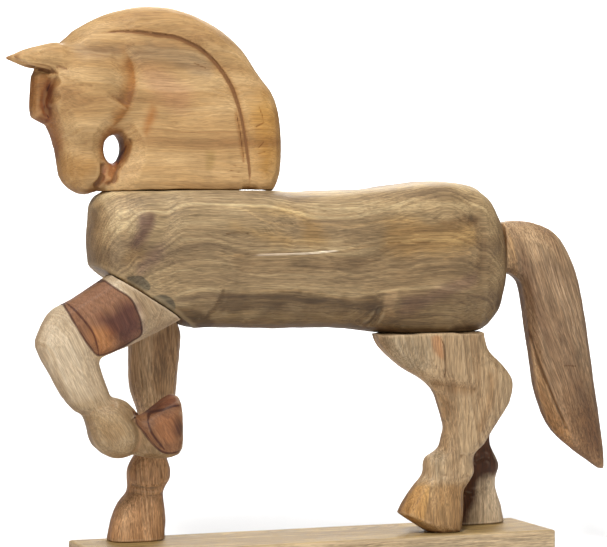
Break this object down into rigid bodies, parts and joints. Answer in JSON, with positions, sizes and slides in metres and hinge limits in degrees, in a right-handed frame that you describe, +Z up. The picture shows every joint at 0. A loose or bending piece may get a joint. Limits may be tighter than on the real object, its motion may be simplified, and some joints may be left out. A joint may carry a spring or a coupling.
{
  "type": "horse statue",
  "caption": "Carved wooden walking horse with one raised foreleg, arched neck and thick tail, assembled from solid blocks on a long narrow plank.",
  "frame": {"origin": "centre of the plank's underside", "axes": "+X along the plank from the head to the tail, +Y to the horse's right side, +Z up"},
  "size_m": [0.6009, 0.097, 0.528],
  "materials": {
    "pale_wood": "raw, lightly waxed",
    "grey_brown_wood": "raw, lightly waxed",
    "golden_wood": "raw, lightly waxed",
    "pale_and_heart_wood": "raw, lightly waxed",
    "brown_wood": "raw, lightly waxed",
    "tan_wood": "raw, lightly waxed",
    "reddish_wood": "raw, lightly waxed"
  },
  "bodies": {
    "root": {"base_plank": "pale_wood", "body": "grey_brown_wood", "head_and_neck": "golden_wood", "raised_foreleg": "pale_and_heart_wood", "standing_foreleg": "brown_wood", "near_hind_leg": "tan_wood", "far_hind_leg": "tan_wood", "tail": "reddish_wood"}
  },
  "joints": []
}
